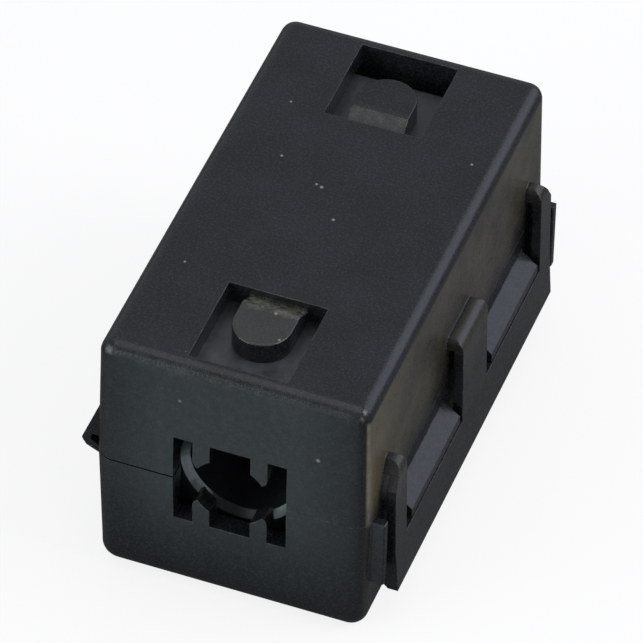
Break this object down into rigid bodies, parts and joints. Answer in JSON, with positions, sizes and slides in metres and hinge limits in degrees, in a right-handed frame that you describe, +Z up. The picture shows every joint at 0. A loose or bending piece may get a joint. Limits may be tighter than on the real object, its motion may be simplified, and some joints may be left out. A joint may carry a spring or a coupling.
{
  "type": "clip-on ferrite core",
  "caption": "Hinged, latching box case with split ferrite core inside; clips around a round cable to suppress high-frequency noise.",
  "frame": {"origin": "middle of the underside of the closed case", "axes": "+X from the hinge towards the latch, +Y along the cable, +Z up from the lower to the upper half"},
  "size_m": [0.0204, 0.0324, 0.0189],
  "materials": {
    "case_plastic": "moulded black nylon, finely textured",
    "ferrite": "fired and ground, dark grey"
  },
  "bodies": {
    "lower_case": {"lower_shell": "case_plastic", "hinge_web": "case_plastic", "ferrite_lower_half": "ferrite"},
    "upper_case": {"upper_shell": "case_plastic", "ferrite_upper_half": "ferrite"},
    "latch": {"latch_plate": "case_plastic"}
  },
  "joints": [
    {"name": "case_hinge", "type": "hinge", "parent": "lower_case", "child": "upper_case", "pos_m": [-0.00986, 0, 0.00945], "axis": [0, -1, 0], "range_deg": [0, 180]},
    {"name": "latch_flex", "type": "hinge", "parent": "upper_case", "child": "latch", "pos_m": [0.00995, 0, 0.01205], "axis": [0, -1, 0], "range_deg": [0, 10], "stiffness_Nm_per_rad": 0.02}
  ]
}
